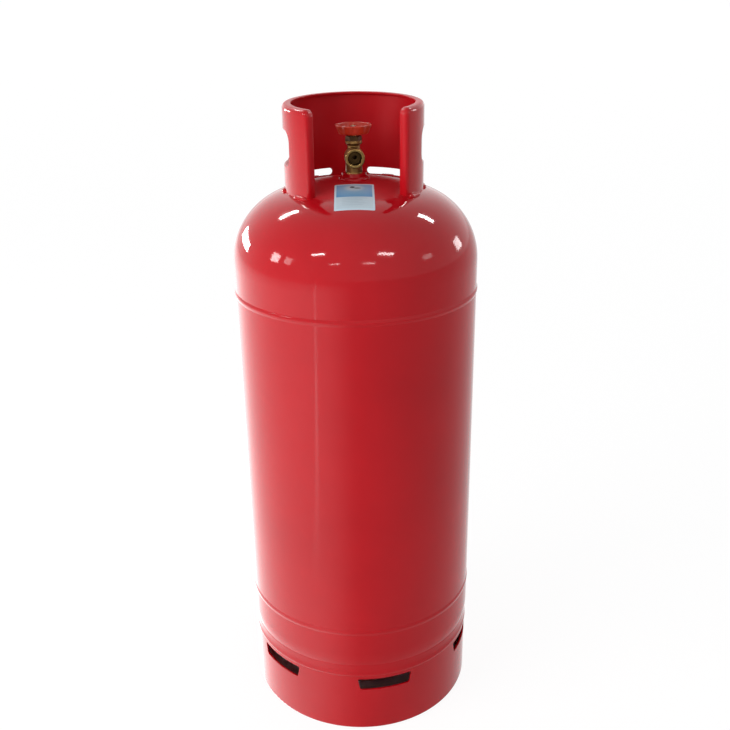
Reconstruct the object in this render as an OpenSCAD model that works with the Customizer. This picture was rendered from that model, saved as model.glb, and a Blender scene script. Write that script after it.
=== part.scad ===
// Large welded steel gas cylinder with a rolled guard collar, a slotted foot ring and a
// brass valve that a hand wheel opens. Millimetres, +Z up. The origin is the middle of
// the foot ring's underside. The guard's opening and the valve's outlet face -Y.

/* [Shell and heads] */
// Outside diameter of the shell and of both heads
shell_d = 406; // [330:1:490]
// Wall of the shell and of both heads
wall_t = 3; // [2:0.1:4]
// Length of the rolled shell between the two girth welds
shell_h = 565; // [300:1:900]
// Straight skirt of each head, from its girth weld to its knuckle
skirt_h = 48; // [35:1:70]
// Outer radius of each head's shallow crown
crown_r = 400; // [350:1:500]
// Outer radius of each head's knuckle
knuckle_r = 118; // [90:1:125]
// Gap between the lower head's lowest point and the ground
head_clear = 32; // [20:1:60]

/* [Welds] */
// Height of the weld caps above the plate
cap_h = 1.6; // [0.8:0.1:2.5]
// Width of the girth weld caps
cap_w = 11; // [9:0.5:14]
// Width of the lengthways seam, cap included
seam_w = 9; // [7:0.5:12]
// Size of the fillet welds at the socket, collar and foot ring
fillet_leg = 5; // [3:0.5:6]
// Width of the backing rings behind the girth welds
backing_w = 30; // [20:1:40]
// Thickness of the backing rings
backing_t = 2.5; // [1.5:0.1:4]

/* [Foot ring] */
// Outside diameter of the foot ring
foot_d = 402; // [330:1:402]
// Height of the foot ring
foot_h = 121; // [110:1:124]
// Sheet of the foot ring
foot_t = 3; // [2:0.1:4]
// Outer radius of the roll along the foot ring's lower edge
foot_roll_r = 5; // [5:0.5:9]
// Number of slots around the foot ring
slot_n = 6; // [3:1:8]
// Width of each slot along its upper edge
slot_w = 97; // [50:1:100]
// How much narrower the lower edge of a slot is
slot_taper = 7; // [0:1:15]
// Height of each slot
slot_h = 23; // [12:1:30]
// Sheet between the slots and the top of the foot ring
slot_drop = 10; // [8:1:20]
// Corner radius of the slots
slot_corner_r = 3; // [1:0.5:6]
// Turn of the first slot from the front
slot_turn = 8; // [0:1:59]

/* [Guard collar] */
// Outside diameter of the guard collar
guard_d = 225; // [190:1:230]
// Height of the guard collar above the top of the crown
guard_h = 126; // [112:1:160]
// Sheet of the guard collar
guard_t = 3; // [2:0.1:4]
// Outer radius of the roll along the guard collar's edges
guard_roll_r = 7; // [6:0.5:9]
// Half of the angle that the guard collar leaves open at the front
guard_half_open = 43.5; // [30:0.5:50]
// Length of each hand hole along its middle
hand_w = 92; // [70:1:100]
// Height of each hand hole
hand_h = 54; // [40:1:60]
// Middle of the hand holes above the top of the crown
hand_z = 52; // [50:1:70]
// Angle from the front to the middle of each hand hole
hand_angle = 92; // [88:1:96]
// Depth of the turned-in rim around each hand hole
hand_rim = 8; // [4:0.5:12]
// Height of the drain slots at the back of the guard collar
drain_h = 12; // [6:0.5:14]
// Length of each drain slot
drain_w = 74; // [40:1:76]
// Angle from the back to the middle of each drain slot
drain_angle = 35; // [32:1:38]
// Height of the sheet left under each drain slot
drain_foot = 3; // [2:0.5:6]

/* [Label] */
// Width of the label
label_w = 62; // [30:1:70]
// Length of the label, seen from above
label_l = 92; // [50:1:94]
// Distance from the axis to the label's upper edge
label_in = 39; // [32:1:42]
// Thickness of the label
label_t = 0.3; // [0.2:0.05:0.6]
// Turn of the label from the front
label_turn = -4; // [-8:0.5:8]

/* [Valve socket] */
// Outside diameter of the socket above the head
socket_d = 40; // [36:0.5:50]
// Height of the socket above the top of the crown
socket_h = 10; // [6:0.5:20]
// Diameter of the spigot that passes through the head
spigot_d = 35; // [33:0.5:35]
// How far the spigot reaches below the inner face of the head
spigot_drop = 9; // [4:0.5:16]

/* [Valve body] */
// Largest diameter of the valve's taper thread
stem_d = 27.8; // [25:0.1:29]
// Length of the taper thread
stem_l = 26; // [20:0.5:30]
// Diameter of the barrel
barrel_d = 27; // [25:0.5:30]
// Diameter of the waist under the gland
waist_d = 20.5; // [20:0.1:23]
// Diameter of the outlet boss
boss_d = 31.5; // [28:0.5:36]
// Distance from the valve's axis to the mouth of the outlet
outlet_l = 30; // [27:0.5:40]
// Height of the outlet's middle above the socket
outlet_z = 26; // [24:0.5:28]
// Minor diameter of the outlet's thread
outlet_d = 20.4; // [18:0.1:22]
// Depth of the outlet's thread
outlet_depth = 14; // [8:0.5:16]
// Diameter of the gas passages
passage_d = 6.4; // [4:0.1:7]

/* [Spindle and plug] */
// Diameter of the plug's thread
plug_d = 16; // [14:0.1:16.4]
// Diameter of the spindle
spindle_d = 8; // [7:0.1:9]
// Lift of the plug between closed and open
plug_lift = 3; // [1.5:0.1:3.5]
// Thickness of the blade that turns the plug
blade_t = 3; // [2:0.1:4]
// Size across the spindle's square
square_w = 6; // [5:0.1:6.5]
// Radial clearance of the pieces that turn or slide
run_clear = 0.1; // [0.05:0.01:0.2]

/* [Hand wheel] */
// Diameter of the hand wheel
wheel_d = 61; // [50:0.5:80]
// Height of the hand wheel's rim
wheel_h = 14; // [12:0.5:20]
// Number of finger hollows around the rim
hollow_n = 8; // [5:1:12]
// Depth of the finger hollows
hollow_depth = 2.2; // [1:0.1:3]

/* [Hidden] */
$fn = 96;
eps = 0.01;
far = 1000;

paint = "#c62a30";
brass = "#b5924c";
steel = "#b9bcc0";

// Shell and heads
shell_r = shell_d / 2;
bore_r = shell_r - wall_t;
knuckle_c = shell_r - knuckle_r;
crown_drop = sqrt(pow(crown_r - knuckle_r, 2) - pow(knuckle_c, 2));
crown_angle = atan2(crown_drop, knuckle_c);
head_h = crown_r - crown_drop;
low_tangent_z = head_clear + head_h;
low_weld_z = low_tangent_z + skirt_h;
top_weld_z = low_weld_z + shell_h;
top_tangent_z = top_weld_z + skirt_h;
crown_z = top_tangent_z + head_h;

// Girth welds: half width of the groove at the bore and at the outside
groove_in = 1;
groove_out = cap_w / 2 - 1.5;
cap_r = (pow(cap_w / 2, 2) + pow(cap_h, 2)) / (2 * cap_h);
seam_gap = 4;
seam_cap_h = cap_h - 0.4;
seam_r = (pow(seam_w / 2, 2) + pow(seam_cap_h, 2)) / (2 * seam_cap_h);
seam_turn = 25;

// Foot ring
foot_r = foot_d / 2;
foot_gap = 1.9;
// Height at which the foot ring's bore meets the lower head
foot_meet_z = low_tangent_z - sqrt(max(0, pow(knuckle_r, 2) - pow(foot_r - foot_t - 1 - knuckle_c, 2)));
// Top of the foot ring, always just under the head that it is welded to
foot_top_z = min(foot_h, foot_meet_z - foot_gap);
slot_mid_z = foot_top_z - slot_drop - slot_h / 2;

// Guard collar
guard_r = guard_d / 2;
guard_mid_r = guard_r - guard_roll_r;
guard_top_z = crown_z + guard_h;
guard_roll_z = guard_top_z - guard_roll_r;
guard_foot_z = crown_z - 4 * guard_roll_r;
roll_proud = 0.1;
guard_weld_span = 16;
guard_weld_angles = [guard_half_open + 9, hand_angle, 180 - drain_angle];

// Socket and valve
socket_top_z = crown_z + socket_h;
stem_taper = 3 / 50;
thread_gap = 0.05;
chamber_r = plug_d / 2 + run_clear;
seat_z = 13;
seat_ring_r = passage_d / 2 + 2.2;
waist_z = 37;
flare_z = 44;
gland_z = 51;
gland_hex_h = 7;
gland_hex_r = barrel_d / 2 - 0.2;
gland_thread_r = 9.4;

// Spindle and plug
washer_t = 0.8;
seal_h = 3;
seal_r = spindle_d / 2 + 2.3;
flange_h = 2;
flange_top_z = flare_z - washer_t;
flange_z = flange_top_z - flange_h;
flange_r = chamber_r - 0.8;
blade_l = 6.5;
blade_w = plug_d - 4;
plug_top_z = flange_z - plug_lift - 0.5;
plug_thread_l = 8;
disc_t = 3;
disc_r = 5.6;
disc_holder_r = 7;
disc_wall = 1.5;

// Hand wheel
hub_z = gland_z + gland_hex_h + 1.3;
hub_r = 9;
hub_h = 9.7;
wheel_r = wheel_d / 2;
wheel_z = hub_z + 2.7;
rim_t = 5;
web_t = 3.5;
web_z = hub_z + 3.2;
wheel_edge_r = 2;
hollow_r = 9;
stud_d = 5;
wheel_washer_t = 1;
wheel_washer_r = 6;
wheel_nut_h = 4;
wheel_nut_r = 4.6;

// Height of the upper head's outer surface at a distance r from the axis, on its crown
function crown_at(r) = crown_z - crown_r + sqrt(pow(crown_r, 2) - pow(r, 2));

// Corner of a rounded outline: an arc of radius r about the point c, from angle a to b
function arc(c, r, a, b, n = 8) =
    [for (i = [0 : n]) c + r * [cos(a + (b - a) * i / n), sin(a + (b - a) * i / n)]];

// Rectangle with round corners, centred, that may narrow by taper towards its lower edge
function round_plate(w, h, r, taper = 0) =
    let (x = w / 2 - r, y = h / 2 - r, d = taper / 2)
    concat(
        arc([x, y], r, 0, 90),
        arc([-x, y], r, 90, 180),
        arc([d - x, -y], r, 180, 270),
        arc([x - d, -y], r, 270, 360)
    );

// Flat sector from angle a to b that reaches past radius r
module sector(r, a, b) {
    steps = 4;
    points = [for (i = [0 : steps]) 1.3 * r * [cos(a + (b - a) * i / steps), sin(a + (b - a) * i / steps)]];
    polygon(concat([[0, 0]], points));
}

// Part of a flat ring between two angles
module ring_sector(r_out, r_in, a, b) {
    intersection() {
        difference() {
            circle(r_out);
            circle(r_in);
        }
        sector(r_out, a, b);
    }
}

// Rectangle of size w by h with round corners, standing on the origin
module round_bar(w, h, r) {
    translate([0, r])
        square([w, h - 2 * r]);
    for (y = [0, h - r])
        translate([r, y])
            square([w - 2 * r, r]);
    for (corner = [[w - r, h - r, 0], [r, h - r, 90], [r, r, 180], [w - r, r, 270]])
        translate([corner[0], corner[1]])
            intersection() {
                circle(r);
                sector(r, corner[2], corner[2] + 90);
            }
}

// Section of a head between the depths a and b under its outer surface, without its skirt
module head_band(a, b) {
    translate([knuckle_c, 0])
        ring_sector(knuckle_r - a, knuckle_r - b, 0, crown_angle);
    translate([0, -crown_drop])
        ring_sector(crown_r - a, crown_r - b, crown_angle, 90);
}

// Pressed head whose tangent line is at the height 0
module head() {
    rotate_extrude($fn = 180)
        head_band(0, wall_t);
    rotate_extrude($fn = 180)
        polygon([
            [bore_r, 0],
            [shell_r, 0],
            [shell_r, groove_out - skirt_h],
            [bore_r, groove_in - skirt_h]
        ]);
}

// Ball that the crown of the upper head is part of
module crown_ball() {
    translate([0, 0, crown_z - crown_r])
        sphere(crown_r, $fn = 200);
}

// Ring of square section between two radii and two heights
module tube(r_out, r_in, z, h) {
    translate([0, 0, z])
        difference() {
            cylinder(h = h, r = r_out);
            translate([0, 0, -eps])
                cylinder(h = h + 2 * eps, r = r_in);
        }
}

// Hexagonal prism with its corners at the radius r
module hexagon(r, z, h) {
    translate([0, 0, z])
        cylinder(h = h, r = r, $fn = 6);
}

// Weld bead that fills the groove of a girth joint
module girth_weld(z) {
    color(paint)
        translate([0, 0, z])
            rotate_extrude($fn = 180) {
                polygon([
                    [bore_r, -groove_in],
                    [shell_r, -groove_out],
                    [shell_r, groove_out],
                    [bore_r, groove_in]
                ]);
                intersection() {
                    translate([shell_r + cap_h - cap_r, 0])
                        circle(cap_r);
                    translate([shell_r, -cap_w / 2])
                        square([2 * cap_h, cap_w]);
                }
            }
}

// Strip behind a girth joint
module backing_ring(z) {
    color(steel)
        tube(bore_r, bore_r - backing_t, z - backing_w / 2, backing_w);
}

// Length and place of the seam, clear of both girth weld caps
module seam_run() {
    translate([0, 0, low_weld_z + cap_w / 2])
        linear_extrude(shell_h - cap_w)
            rotate([0, 0, seam_turn])
                children();
}

// Rolled cylindrical shell, open along its seam, with bevelled ends
module shell() {
    color(paint)
        difference() {
            rotate_extrude($fn = 180)
                polygon([
                    [bore_r, low_weld_z + groove_in],
                    [shell_r, low_weld_z + groove_out],
                    [shell_r, top_weld_z - groove_out],
                    [bore_r, top_weld_z - groove_in]
                ]);
            seam_run()
                translate([-seam_gap / 2, bore_r - 5])
                    square([seam_gap, wall_t + 10]);
        }
}

// Lengthways seam: the filled gap, and the cap on it
module seam_weld() {
    color(paint)
        seam_run() {
            intersection() {
                difference() {
                    circle(shell_r, $fn = 180);
                    circle(bore_r, $fn = 180);
                }
                translate([-seam_gap / 2, bore_r - 5])
                    square([seam_gap, wall_t + 10]);
            }
            difference() {
                translate([0, shell_r + seam_cap_h - seam_r])
                    circle(seam_r);
                circle(shell_r, $fn = 180);
            }
        }
}

// Upper head, with the hole that takes the valve socket
module top_head() {
    color(paint)
        difference() {
            translate([0, 0, top_tangent_z])
                head();
            cylinder(h = 2 * far, d = spigot_d + 2 * thread_gap);
        }
}

// Lower head
module bottom_head() {
    color(paint)
        translate([0, 0, low_tangent_z])
            mirror([0, 0, 1])
                head();
}

// Slots that drain and air the space inside the foot ring
module foot_slots() {
    for (i = [0 : slot_n - 1])
        rotate([0, 0, slot_turn + 360 * i / slot_n])
            translate([0, -foot_r + 4 * foot_t, slot_mid_z])
                rotate([90, 0, 0])
                    linear_extrude(8 * foot_t)
                        polygon(round_plate(slot_w, slot_h, slot_corner_r, slot_taper));
}

// Foot ring, with its lower edge rolled inwards
module foot_ring() {
    color(paint)
        difference() {
            rotate_extrude($fn = 180) {
                translate([foot_r - foot_t, foot_roll_r])
                    square([foot_t, foot_top_z - foot_roll_r]);
                translate([foot_r - foot_roll_r, foot_roll_r])
                    ring_sector(foot_roll_r, foot_roll_r - foot_t, 180, 360);
            }
            foot_slots();
        }
}

// Bead between the top of the foot ring and the knuckle of the lower head
module foot_ring_weld() {
    color(paint)
        rotate_extrude($fn = 180)
            difference() {
                translate([foot_r - foot_t - 1, foot_top_z])
                    intersection() {
                        circle(fillet_leg);
                        translate([-fillet_leg, 0])
                            square(2 * fillet_leg);
                    }
                translate([knuckle_c, low_tangent_z])
                    circle(knuckle_r, $fn = 180);
            }
}

// Angle about Z that turns the +X axis to an angle from the front, towards +X
function from_front(a) = a - 90;

// Section of a rolled edge, curled closed: a hair proud of the sheet that it ends
module roll_section() {
    difference() {
        circle(guard_roll_r + roll_proud);
        circle(guard_roll_r - guard_t);
    }
}

// Rolled edge at one end of the guard collar, with a ball that rounds the corner above it
// and is turned so that its poles lie inside the rolls
module guard_end(side) {
    rotate([0, 0, from_front(side * guard_half_open)])
        translate([guard_mid_r, 0, 0]) {
            translate([0, 0, guard_foot_z])
                linear_extrude(guard_roll_z - guard_foot_z)
                    roll_section();
            translate([0, 0, guard_roll_z])
                rotate([-45 * side, 0, 0])
                    rotate([0, 0, -90 * side])
                        sphere(guard_roll_r + 2 * roll_proud);
        }
}

// Prism through the guard's side, turned to an angle from the front at a given height
module guard_cut(a, z, inner_r, outer_r) {
    rotate([0, 0, from_front(a)])
        translate([inner_r, 0, z])
            rotate([90, 0, 90])
                linear_extrude(outer_r - inner_r)
                    children();
}

// Turned-in rim around a hand hole, cut to follow the sheet
module hand_rim(side) {
    intersection() {
        guard_cut(side * hand_angle, crown_z + hand_z, guard_r / 2, guard_r)
            polygon(round_plate(hand_w + 2 * guard_t, hand_h + 2 * guard_t, hand_h / 2 + guard_t));
        tube(guard_r - guard_t / 2, guard_r - hand_rim, crown_z, guard_h);
    }
}

// Bent sheet of the guard collar, which ends inside the rolled edges
module guard_sheet() {
    tuck = 1;
    start = guard_half_open + tuck * 180 / (PI * guard_r);
    rotate([0, 0, from_front(start)])
        rotate_extrude(angle = 360 - 2 * start, $fn = 180)
            translate([guard_r - guard_t, guard_foot_z])
                square([guard_t, guard_roll_z - guard_foot_z - tuck]);
}

// Rolled top edge of the guard collar
module guard_top_roll() {
    rotate([0, 0, from_front(guard_half_open)])
        rotate_extrude(angle = 360 - 2 * guard_half_open, $fn = 180)
            translate([guard_mid_r, guard_roll_z])
                roll_section();
}

// Openings through one side of the guard collar: the hand hole and the drain slot
module guard_openings(side) {
    drain_z = crown_at(guard_r - guard_t) + drain_foot + drain_h / 2;
    guard_cut(side * hand_angle, crown_z + hand_z, guard_r / 2, guard_r + 20)
        polygon(round_plate(hand_w, hand_h, hand_h / 2 - eps));
    guard_cut(side * (180 - drain_angle), drain_z, guard_r / 2, guard_r + 20)
        polygon(round_plate(drain_w, drain_h, drain_h / 2 - eps));
}

// C-shaped guard collar that stands on the crown, rolled inwards along its free edges
module guard_collar() {
    sides = [-1, 1];
    color(paint)
        difference() {
            union() {
                guard_sheet();
                guard_top_roll();
                for (side = sides) {
                    guard_end(side);
                    hand_rim(side);
                }
            }
            for (side = sides)
                guard_openings(side);
            crown_ball();
        }
}

// Short beads around the outside of the guard collar's foot
module guard_welds() {
    color(paint)
        difference() {
            for (a = concat(guard_weld_angles, -guard_weld_angles))
                rotate([0, 0, from_front(a) - guard_weld_span / 2])
                    rotate_extrude(angle = guard_weld_span, $fn = 180)
                        translate([guard_r, crown_at(guard_r)])
                            intersection() {
                                circle(fillet_leg);
                                translate([0, -fillet_leg])
                                    square(2 * fillet_leg);
                            }
            crown_ball();
        }
}

// Label on the front of the upper head
module label() {
    color("#8fb8d6")
        intersection() {
            translate([0, 0, top_tangent_z])
                rotate_extrude($fn = 180)
                    head_band(-label_t, 0);
            rotate([0, 0, label_turn])
                translate([0, -label_in - label_l / 2, top_tangent_z])
                    linear_extrude(head_h + 2 * label_t)
                        polygon(round_plate(label_w, label_l, 2));
        }
}

// Socket that is welded into the upper head and takes the valve's taper thread
module valve_socket() {
    color(paint)
        difference() {
            union() {
                difference() {
                    translate([0, 0, crown_at(socket_d / 2) - 1])
                        cylinder(h = socket_top_z - crown_at(socket_d / 2) + 1, d = socket_d);
                    crown_ball();
                }
                translate([0, 0, crown_z - wall_t - spigot_drop])
                    cylinder(h = wall_t + spigot_drop + socket_h, d = spigot_d);
            }
            translate([0, 0, socket_top_z - stem_l - thread_gap])
                stem_cone(thread_gap);
            cylinder(h = 2 * far, d = stem_d - stem_l * 2 * stem_taper);
        }
}

// Bead around the socket's foot
module socket_weld() {
    color(paint)
        difference() {
            rotate_extrude()
                translate([socket_d / 2, crown_at(socket_d / 2)])
                    intersection() {
                        circle(fillet_leg);
                        translate([0, -fillet_leg])
                            square(2 * fillet_leg);
                    }
            crown_ball();
        }
}

// Taper of the valve's thread, standing on its small end, grown by a gap all round
module stem_cone(gap) {
    cylinder(
        h = stem_l + 2 * gap,
        r1 = stem_d / 2 - stem_l * stem_taper + gap,
        r2 = stem_d / 2 + gap
    );
}

// Places what follows with the socket's top face as the height 0
module on_socket() {
    translate([0, 0, socket_top_z])
        children();
}

// Round bar from the valve's axis out towards the front
module outlet_bar(d, y0, y1) {
    translate([0, -y0, outlet_z])
        rotate([90, 0, 0])
            cylinder(h = y1 - y0, d = d);
}

// Forged valve body: taper thread, barrel, outlet boss, waist and gland seat
module valve_body() {
    boss_edge = 1.2;
    color(brass)
        on_socket()
            difference() {
                union() {
                    translate([0, 0, -stem_l])
                        stem_cone(0);
                    cylinder(h = waist_z - 6, d = barrel_d);
                    translate([0, 0, waist_z - 6])
                        cylinder(h = 6, d1 = barrel_d, d2 = waist_d);
                    translate([0, 0, waist_z])
                        cylinder(h = flare_z - waist_z, d = waist_d);
                    translate([0, 0, flare_z])
                        cylinder(h = 2.5, d1 = waist_d, d2 = barrel_d);
                    translate([0, 0, flare_z + 2.5])
                        cylinder(h = gland_z - flare_z - 2.5, d = barrel_d);
                    outlet_bar(boss_d, 0, outlet_l - boss_edge);
                    translate([0, -outlet_l + boss_edge, outlet_z])
                        rotate([90, 0, 0])
                            cylinder(h = boss_edge, d1 = boss_d, d2 = boss_d - 2 * boss_edge);
                }
                // Inlet passage, and the chamber that leaves a raised seat around it
                translate([0, 0, -stem_l - 1])
                    cylinder(h = stem_l + seat_z + 2, d = passage_d);
                translate([0, 0, seat_z])
                    cylinder(h = gland_z, r = chamber_r);
                difference() {
                    translate([0, 0, seat_z - 2])
                        cylinder(h = 3, r = chamber_r);
                    translate([0, 0, seat_z - 3])
                        cylinder(h = 3, r = seat_ring_r);
                }
                // Thread for the gland nut
                translate([0, 0, flare_z])
                    cylinder(h = gland_z, r = gland_thread_r + thread_gap);
                // Outlet thread with its chamfer, and the passage behind it
                outlet_bar(outlet_d, outlet_l - outlet_depth, outlet_l + 1);
                outlet_bar(passage_d, 0, outlet_l);
                translate([0, -outlet_l - eps, outlet_z])
                    rotate([-90, 0, 0])
                        cylinder(h = 1.5, d1 = outlet_d + 3, d2 = outlet_d);
            }
}

// Gland nut that holds the spindle down, bored for the spindle and for its seal
module gland_nut() {
    bore = spindle_d / 2 + run_clear;
    color(brass)
        on_socket()
            difference() {
                union() {
                    translate([0, 0, flare_z])
                        cylinder(h = gland_z - flare_z, r = gland_thread_r);
                    intersection() {
                        hexagon(gland_hex_r, gland_z, gland_hex_h);
                        translate([0, 0, gland_z])
                            cylinder(h = gland_hex_h, r1 = gland_hex_r + 2.4, r2 = gland_hex_r - 0.8);
                    }
                }
                cylinder(h = 2 * far, r = bore);
                translate([0, 0, flare_z - 1])
                    cylinder(h = 1 + seal_h + 1, r = seal_r);
            }
}

// Rubber ring that seals the spindle in the gland nut
module spindle_seal() {
    color("#2b2b2b")
        on_socket()
            tube(seal_r, spindle_d / 2 + run_clear / 2, flare_z + 1, seal_h);
}

// Slip washer between the spindle's flange and the gland nut
module thrust_washer() {
    color("#e8e4d8")
        on_socket()
            tube(flange_r, spindle_d / 2 + run_clear, flange_top_z + run_clear, washer_t - run_clear);
}

// Spindle: blade, flange, round shaft, square for the wheel and threaded end for its nut
module spindle() {
    square_z = hub_z - 0.3;
    hub_top_z = hub_z + hub_h;
    color(brass)
        on_socket()
            union() {
                translate([-blade_t / 2, -blade_w / 2, flange_z - blade_l])
                    cube([blade_t, blade_w, blade_l]);
                translate([0, 0, flange_z])
                    cylinder(h = flange_h, r = flange_r);
                translate([0, 0, flange_top_z])
                    cylinder(h = square_z - flange_top_z, d = spindle_d);
                translate([-square_w / 2, -square_w / 2, square_z])
                    cube([square_w, square_w, hub_top_z - 0.3 - square_z]);
                translate([0, 0, hub_top_z - 0.3])
                    cylinder(h = wheel_washer_t + wheel_nut_h + 1.6, d = stud_d);
            }
}

// Plug that screws up and down in the body, slotted for the blade and cupped for its disc
module valve_plug() {
    holder_z = seat_z + 0.5;
    color(brass)
        on_socket()
            difference() {
                union() {
                    translate([0, 0, plug_top_z - plug_thread_l])
                        cylinder(h = plug_thread_l, d = plug_d);
                    translate([0, 0, holder_z])
                        cylinder(h = plug_top_z - plug_thread_l - holder_z, r = disc_holder_r - 1.5);
                    translate([0, 0, holder_z])
                        cylinder(h = disc_t + disc_wall, r = disc_holder_r);
                }
                translate([0, 0, holder_z - 1])
                    cylinder(h = disc_t + 0.5, r = disc_r);
                translate([-blade_t / 2 - run_clear, -plug_d, flange_z - blade_l - 1 - plug_lift])
                    cube([blade_t + 2 * run_clear, 2 * plug_d, far]);
            }
}

// Soft disc that closes on the seat
module seat_disc() {
    color("#e9e6da")
        on_socket()
            translate([0, 0, seat_z])
                cylinder(h = disc_t, r = disc_r);
}

// Hand wheel: hub with a square hole, thin web and a round-edged rim with finger hollows
module handwheel() {
    color("#e2401c")
        on_socket()
            difference() {
                union() {
                    rotate_extrude()
                        translate([wheel_r - rim_t, wheel_z])
                            round_bar(rim_t, wheel_h, wheel_edge_r);
                    translate([0, 0, web_z])
                        cylinder(h = web_t, r = wheel_r - rim_t / 2);
                    translate([0, 0, hub_z])
                        cylinder(h = hub_h, r = hub_r);
                }
                translate([-square_w / 2 - thread_gap, -square_w / 2 - thread_gap, hub_z - 1])
                    cube([square_w + 2 * thread_gap, square_w + 2 * thread_gap, hub_h + 2]);
                for (i = [0 : hollow_n - 1])
                    rotate([0, 0, 360 * (i + 0.5) / hollow_n])
                        translate([wheel_r + hollow_r - hollow_depth, 0, wheel_z - 1])
                            cylinder(h = wheel_h + 2, r = hollow_r);
            }
}

// Washer under the hand wheel's nut
module handwheel_washer() {
    color(steel)
        on_socket()
            tube(wheel_washer_r, stud_d / 2 + run_clear, hub_z + hub_h, wheel_washer_t);
}

// Nut that holds the hand wheel
module handwheel_nut() {
    color(steel)
        on_socket()
            difference() {
                hexagon(wheel_nut_r, hub_z + hub_h + wheel_washer_t, wheel_nut_h);
                cylinder(h = 2 * far, d = stud_d + 2 * thread_gap);
            }
}

shell();
seam_weld();
top_head();
bottom_head();
girth_weld(top_weld_z);  // upper_girth_weld
girth_weld(low_weld_z);  // lower_girth_weld
backing_ring(top_weld_z);  // upper_backing_ring
backing_ring(low_weld_z);  // lower_backing_ring
foot_ring();
foot_ring_weld();
guard_collar();
guard_welds();
label();
valve_socket();
socket_weld();
valve_body();
gland_nut();
spindle_seal();
thrust_washer();
spindle();
valve_plug();
seat_disc();
handwheel();
handwheel_washer();
handwheel_nut();
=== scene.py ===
"""Large red gas cylinder: paint, welds, rolled guard collar, slotted foot ring and brass valve.

Metres, +Z up. The guard's opening and the valve's outlet face -Y.
"""

import math

import bmesh
import bpy
from mathutils import Matrix, Vector


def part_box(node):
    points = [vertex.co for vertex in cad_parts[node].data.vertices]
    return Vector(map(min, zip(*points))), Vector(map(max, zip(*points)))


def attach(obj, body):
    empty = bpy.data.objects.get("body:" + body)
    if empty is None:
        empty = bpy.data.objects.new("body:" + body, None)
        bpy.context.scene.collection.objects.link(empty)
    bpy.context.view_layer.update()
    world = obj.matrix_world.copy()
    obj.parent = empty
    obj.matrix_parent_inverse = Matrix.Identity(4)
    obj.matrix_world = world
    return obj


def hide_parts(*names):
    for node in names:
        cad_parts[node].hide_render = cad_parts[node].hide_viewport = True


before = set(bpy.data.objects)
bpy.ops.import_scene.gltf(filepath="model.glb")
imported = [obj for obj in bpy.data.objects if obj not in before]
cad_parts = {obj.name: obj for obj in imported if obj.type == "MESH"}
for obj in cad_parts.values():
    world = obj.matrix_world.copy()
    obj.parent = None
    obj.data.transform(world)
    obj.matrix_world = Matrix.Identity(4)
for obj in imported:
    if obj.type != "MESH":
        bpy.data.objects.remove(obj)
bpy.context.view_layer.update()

MM = 0.001
TURN = 2 * math.pi

# Shape of the painted vessel, in metres
SHELL_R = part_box("shell")[1].x
PLATE = 3 * MM
CROWN_R = 400 * MM
CROWN_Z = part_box("top_head")[1].z + 0.4 * MM
FOOT_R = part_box("foot_ring")[1].x
FOOT_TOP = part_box("foot_ring")[1].z
GUARD_R = 112.5 * MM
GUARD_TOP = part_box("guard_collar")[1].z
OUTLET_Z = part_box("valve_socket")[1].z + 26 * MM
OUTLET_L = -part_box("valve_body")[0].y


# ---------------------------------------------------------------- materials

def node_group(name, inputs, outputs):
    """Empty shader node group with its sockets, and the nodes that lead in and out of it."""
    group = bpy.data.node_groups.new(name, "ShaderNodeTree")
    for label, kind, value in inputs:
        socket = group.interface.new_socket(label, in_out="INPUT", socket_type=kind)
        if value is not None:
            socket.default_value = value
    for label, kind in outputs:
        group.interface.new_socket(label, in_out="OUTPUT", socket_type=kind)
    return group, group.nodes.new("NodeGroupInput"), group.nodes.new("NodeGroupOutput")


class Tree:
    """Short ways to add and join the nodes of one tree."""

    def __init__(self, tree):
        self.tree = tree

    def add(self, kind, values=None, **settings):
        node = self.tree.nodes.new(kind)
        for key, value in settings.items():
            setattr(node, key, value)
        for key, value in (values or {}).items():
            self.put(value, node.inputs[key])
        return node

    def put(self, value, socket):
        if isinstance(value, bpy.types.NodeSocket):
            self.tree.links.new(value, socket)
        elif isinstance(value, bpy.types.Node):
            self.tree.links.new(value.outputs[0], socket)
        else:
            socket.default_value = value

    def math(self, operation, a, b=0.0, clamp=False):
        node = self.add("ShaderNodeMath", {0: a, 1: b}, operation=operation)
        node.use_clamp = clamp
        return node.outputs[0]

    def hypot(self, a, b):
        squares = self.math("ADD", self.math("MULTIPLY", a, a), self.math("MULTIPLY", b, b))
        return self.math("SQRT", squares)

    def mix(self, share, a, b):
        node = self.tree.nodes.new("ShaderNodeMix")
        node.data_type = "RGBA"
        self.put(share, node.inputs["Factor"])
        self.put(a, node.inputs["A"])
        self.put(b, node.inputs["B"])
        return node.outputs["Result"]

    def noise(self, place, scale, detail=2.0, roughness=0.5):
        node = self.add(
            "ShaderNodeTexNoise",
            {"Vector": place, "Scale": scale, "Detail": detail, "Roughness": roughness},
        )
        return node.outputs["Fac"]

    def span(self, value, low, high, to_low=0.0, to_high=1.0):
        limits = {"From Min": low, "From Max": high, "To Min": to_low, "To Max": to_high}
        return self.add("ShaderNodeMapRange", {"Value": value, **limits}).outputs["Result"]


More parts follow.
